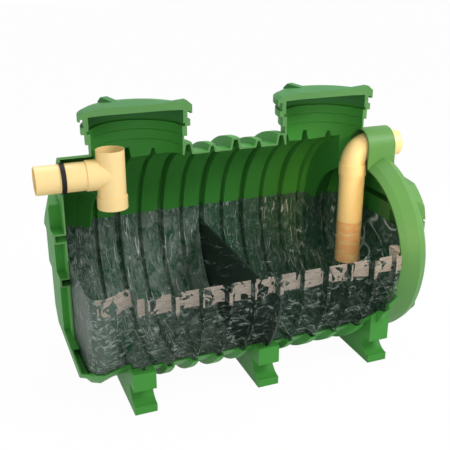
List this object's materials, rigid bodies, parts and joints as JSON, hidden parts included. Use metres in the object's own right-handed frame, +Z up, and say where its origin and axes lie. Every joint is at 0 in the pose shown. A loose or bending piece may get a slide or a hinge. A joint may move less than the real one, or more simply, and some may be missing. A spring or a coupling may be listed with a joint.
{
  "type": "sectioned grease separator tank",
  "caption": "Ribbed horizontal grease separator tank shown in section, with raised-panel ends, lidded risers, saddle feet, inlet tee, outlet elbow with dip pipe and a cross baffle.",
  "frame": {"origin": "centre of the middle foot's base, on the floor under the tank's axis", "axes": "+X along the tank from inlet to outlet, +Y to the uncut back, +Z up"},
  "size_m": [2.271, 1.3357, 1.614],
  "materials": {
    "shell_green": "satin moulded",
    "lid_green": "satin moulded",
    "pipe_orange": "smooth",
    "seal_black": "matt",
    "baffle_dark": "matt"
  },
  "bodies": {
    "root": {"barrel_crown": "shell_green", "barrel_back_upper": "shell_green", "barrel_back_lower": "shell_green", "barrel_sole_back": "shell_green", "barrel_sole_front": "shell_green", "barrel_outlet_front_lower": "shell_green", "end_inlet": "shell_green", "end_outlet_back": "shell_green", "end_outlet_front": "shell_green", "hood_inlet": "shell_green", "hood_outlet": "shell_green", "neck_inlet": "shell_green", "neck_outlet": "shell_green", "collar_inlet": "shell_green", "collar_outlet": "shell_green", "lid_inlet": "lid_green", "lid_outlet": "lid_green", "foot_inlet": "shell_green", "foot_middle": "shell_green", "foot_outlet": "shell_green", "inlet_pipe": "pipe_orange", "inlet_tee": "pipe_orange", "inlet_seal": "seal_black", "outlet_seal": "seal_black", "outlet_pipe": "pipe_orange", "outlet_elbow": "pipe_orange", "outlet_dip_pipe": "pipe_orange", "baffle": "baffle_dark"}
  },
  "joints": []
}
